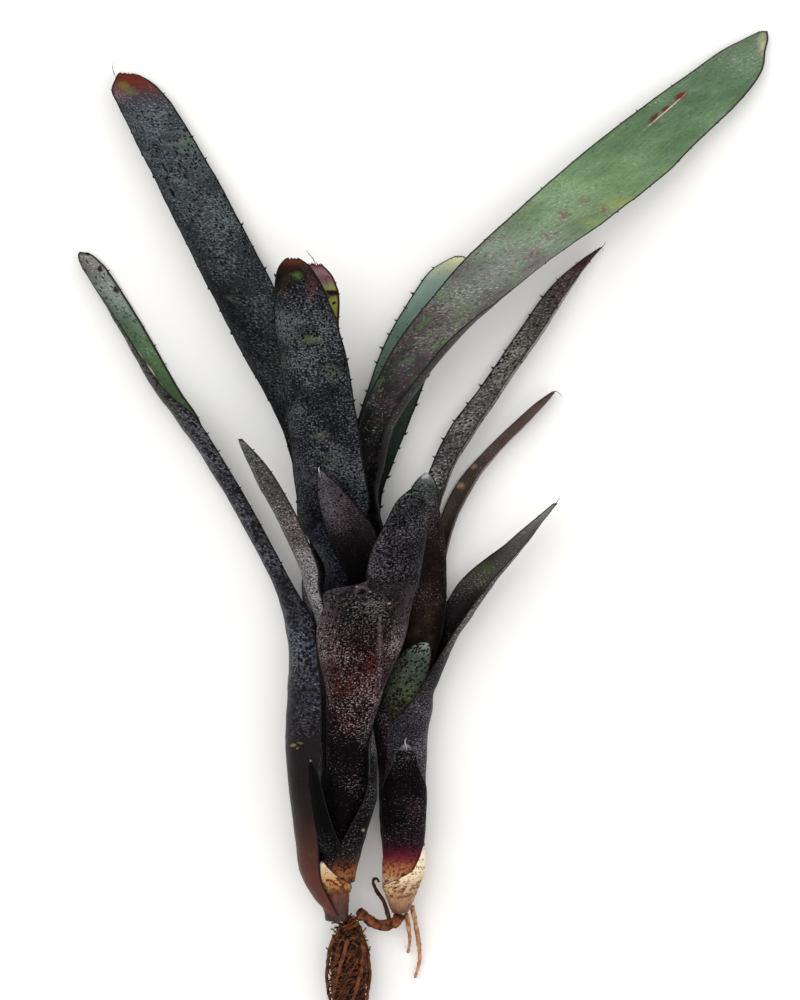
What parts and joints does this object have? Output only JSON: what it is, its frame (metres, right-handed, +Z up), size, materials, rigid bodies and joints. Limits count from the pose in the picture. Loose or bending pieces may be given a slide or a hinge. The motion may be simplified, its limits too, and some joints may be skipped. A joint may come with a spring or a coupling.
{
  "type": "bare-root neoregelia plant",
  "caption": "Bare-rooted bromeliad lying on its back: a mother rosette of spiny strap leaves and an offset, joined by a short stolon above a ball of old roots.",
  "frame": {"origin": "centre of the bounding box's base, on the surface that the plant lies on", "axes": "+Y from the roots to the leaf tips, +X to the side of the offset, +Z up from the surface"},
  "size_m": [0.2102, 0.3031, 0.034],
  "materials": {
    "green_leaf": "waxy living leaf, green with a purple flush, semi-matt",
    "grey_leaf": "living leaf, grey-green to olive under fine silver scales, dark speckles",
    "purple_leaf": "living leaf, dark purple-brown with short silver scale flecks",
    "cataphyll": "short basal leaf, purple-black with white flecks, tan at its foot",
    "papery_bract": "dry papery sheath, cream to tan with black specks",
    "stem": "short fleshy stem, tan to pinkish brown",
    "stolon": "woody runner, orange-brown, ringed",
    "root": "wiry root, brown, matt",
    "root_mass": "matted old roots, near black, matt"
  },
  "bodies": {
    "root": {"mother_stem": "stem", "mother_leaf_far_left": "grey_leaf", "mother_leaf_upper_left": "grey_leaf", "mother_leaf_centre": "grey_leaf", "mother_leaf_centre_back": "purple_leaf", "mother_leaf_heart": "purple_leaf", "mother_leaf_front": "purple_leaf", "mother_leaf_upper_right": "green_leaf", "mother_leaf_right_back": "green_leaf", "mother_leaf_short_left": "grey_leaf", "mother_leaf_stub_left": "grey_leaf", "mother_cataphyll_front": "cataphyll", "mother_cataphyll_left": "cataphyll", "mother_bract_papery": "papery_bract", "pup_stem": "stem", "pup_leaf_long": "grey_leaf", "pup_leaf_narrow": "purple_leaf", "pup_leaf_broad": "purple_leaf", "pup_leaf_low": "grey_leaf", "pup_leaf_blunt": "green_leaf", "pup_cataphyll_front": "cataphyll", "pup_cataphyll_left": "cataphyll", "pup_bract_papery": "papery_bract", "stolon": "stolon", "pup_root_short": "root", "pup_root_long": "root", "pup_root_loop": "root", "root_mass": "root_mass", "mother_root_1": "root", "mother_root_2": "root", "mother_root_3": "root", "mother_root_4": "root", "mother_root_5": "root", "mother_root_6": "root"}
  },
  "joints": []
}
